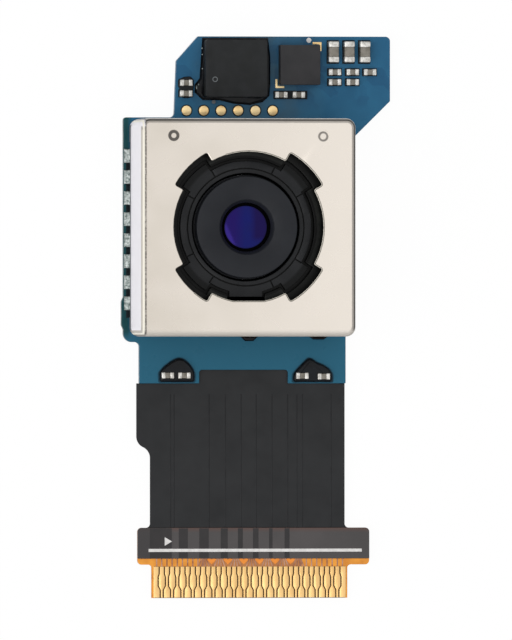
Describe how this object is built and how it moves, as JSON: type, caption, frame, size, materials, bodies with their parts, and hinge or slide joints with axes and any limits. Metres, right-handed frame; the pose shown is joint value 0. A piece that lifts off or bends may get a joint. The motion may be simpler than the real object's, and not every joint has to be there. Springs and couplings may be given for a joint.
{
  "type": "camera module",
  "caption": "Compact autofocus camera module: lens in a shielded actuator on a small circuit board with chips and a flexible tail ending in contact fingers.",
  "frame": {"origin": "where the optical axis meets the rear face of the back plate", "axes": "+Z out of the lens along the optical axis, +Y away from the contact tail, +X along the module's short side"},
  "size_m": [0.013, 0.027, 0.005],
  "materials": {
    "can_metal": "satin, drawn sheet",
    "solder_mask": "blue solder mask",
    "flex_film": "black cover film",
    "cover_film": "black film",
    "amber_film": "amber polyimide",
    "gold": "gold plating",
    "chip_mould": "moulded, lightly grained",
    "resin": "cured black resin",
    "ceramic": "fired ceramic",
    "tin": "tin plating",
    "solder": "solder, satin",
    "steel": "rolled sheet",
    "silicon": "polished die",
    "filter_glass": "coated, clear",
    "housing_polymer": "moulded black",
    "holder_polymer": "moulded black, satin",
    "barrel_polymer": "moulded black, fine matte",
    "copper": "enamelled winding",
    "magnet": "nickel plating",
    "ball_ceramic": "polished ceramic",
    "lens_polymer": "clear moulded lens"
  },
  "bodies": {
    "module": {"back_plate": "steel", "rigid_board": "solder_mask", "image_sensor": "silicon", "filter_bracket": "housing_polymer", "infrared_filter": "filter_glass", "bond_wires": "gold", "shield_can": "can_metal", "terminal_joints": "solder", "actuator_housing": "housing_polymer", "coil_board": "amber_film", "focus_coil": "copper", "shift_coil_east": "copper", "shift_coil_north": "copper", "focus_driver": "chip_mould", "position_sensors": "chip_mould", "focus_yoke": "steel", "flex_cable": "flex_film", "connector_stiffener": "amber_film", "connector_cover": "cover_film", "contact_fingers": "gold", "test_pads": "gold", "corner_marks": "gold", "controller_chip": "chip_mould", "controller_underfill": "resin", "gyro_chip": "chip_mould", "large_capacitors": "ceramic", "large_capacitor_ends": "tin", "small_capacitors": "ceramic", "small_capacitor_ends": "tin", "capacitor_coats": "resin", "adhesive_beads": "resin"},
    "focus_carrier": {"focus_carrier": "housing_polymer", "focus_magnet": "magnet", "shift_yokes": "steel", "stopper_frame": "holder_polymer"},
    "focus_ball_set": {"focus_balls": "ball_ceramic"},
    "lower_ball_set": {"lower_balls": "ball_ceramic"},
    "shift_frame": {"shift_frame": "housing_polymer"},
    "upper_ball_set": {"upper_balls": "ball_ceramic"},
    "lens_group": {"lens_holder": "holder_polymer", "shift_magnets": "magnet", "magnet_backs": "steel", "lens_barrel": "barrel_polymer", "lens_1": "lens_polymer", "lens_2": "lens_polymer", "lens_3": "lens_polymer", "lens_4": "lens_polymer", "lens_5": "lens_polymer", "lens_6": "lens_polymer", "light_baffles": "resin", "lens_lock_ring": "barrel_polymer"}
  },
  "joints": [
    {"name": "focus_slide", "type": "slide", "parent": "module", "child": "focus_carrier", "axis": [0, 0, 1], "range_m": [0, 0.0003]},
    {"name": "focus_ball_roll", "type": "slide", "parent": "module", "child": "focus_ball_set", "axis": [0, 0, 1], "range_m": [0, 0.00015]},
    {"name": "shift_east", "type": "slide", "parent": "focus_carrier", "child": "shift_frame", "axis": [1, 0, 0], "range_m": [-0.00008, 0.00008]},
    {"name": "lower_ball_roll", "type": "slide", "parent": "focus_carrier", "child": "lower_ball_set", "axis": [1, 0, 0], "range_m": [-0.00004, 0.00004]},
    {"name": "shift_north", "type": "slide", "parent": "shift_frame", "child": "lens_group", "axis": [0, 1, 0], "range_m": [-0.00008, 0.00008]},
    {"name": "upper_ball_roll", "type": "slide", "parent": "shift_frame", "child": "upper_ball_set", "axis": [0, 1, 0], "range_m": [-0.00004, 0.00004]}
  ],
  "couplings": [
    {"joint": "focus_ball_roll", "follows": "focus_slide", "ratio": 0.5},
    {"joint": "lower_ball_roll", "follows": "shift_east", "ratio": 0.5},
    {"joint": "upper_ball_roll", "follows": "shift_north", "ratio": 0.5}
  ]
}
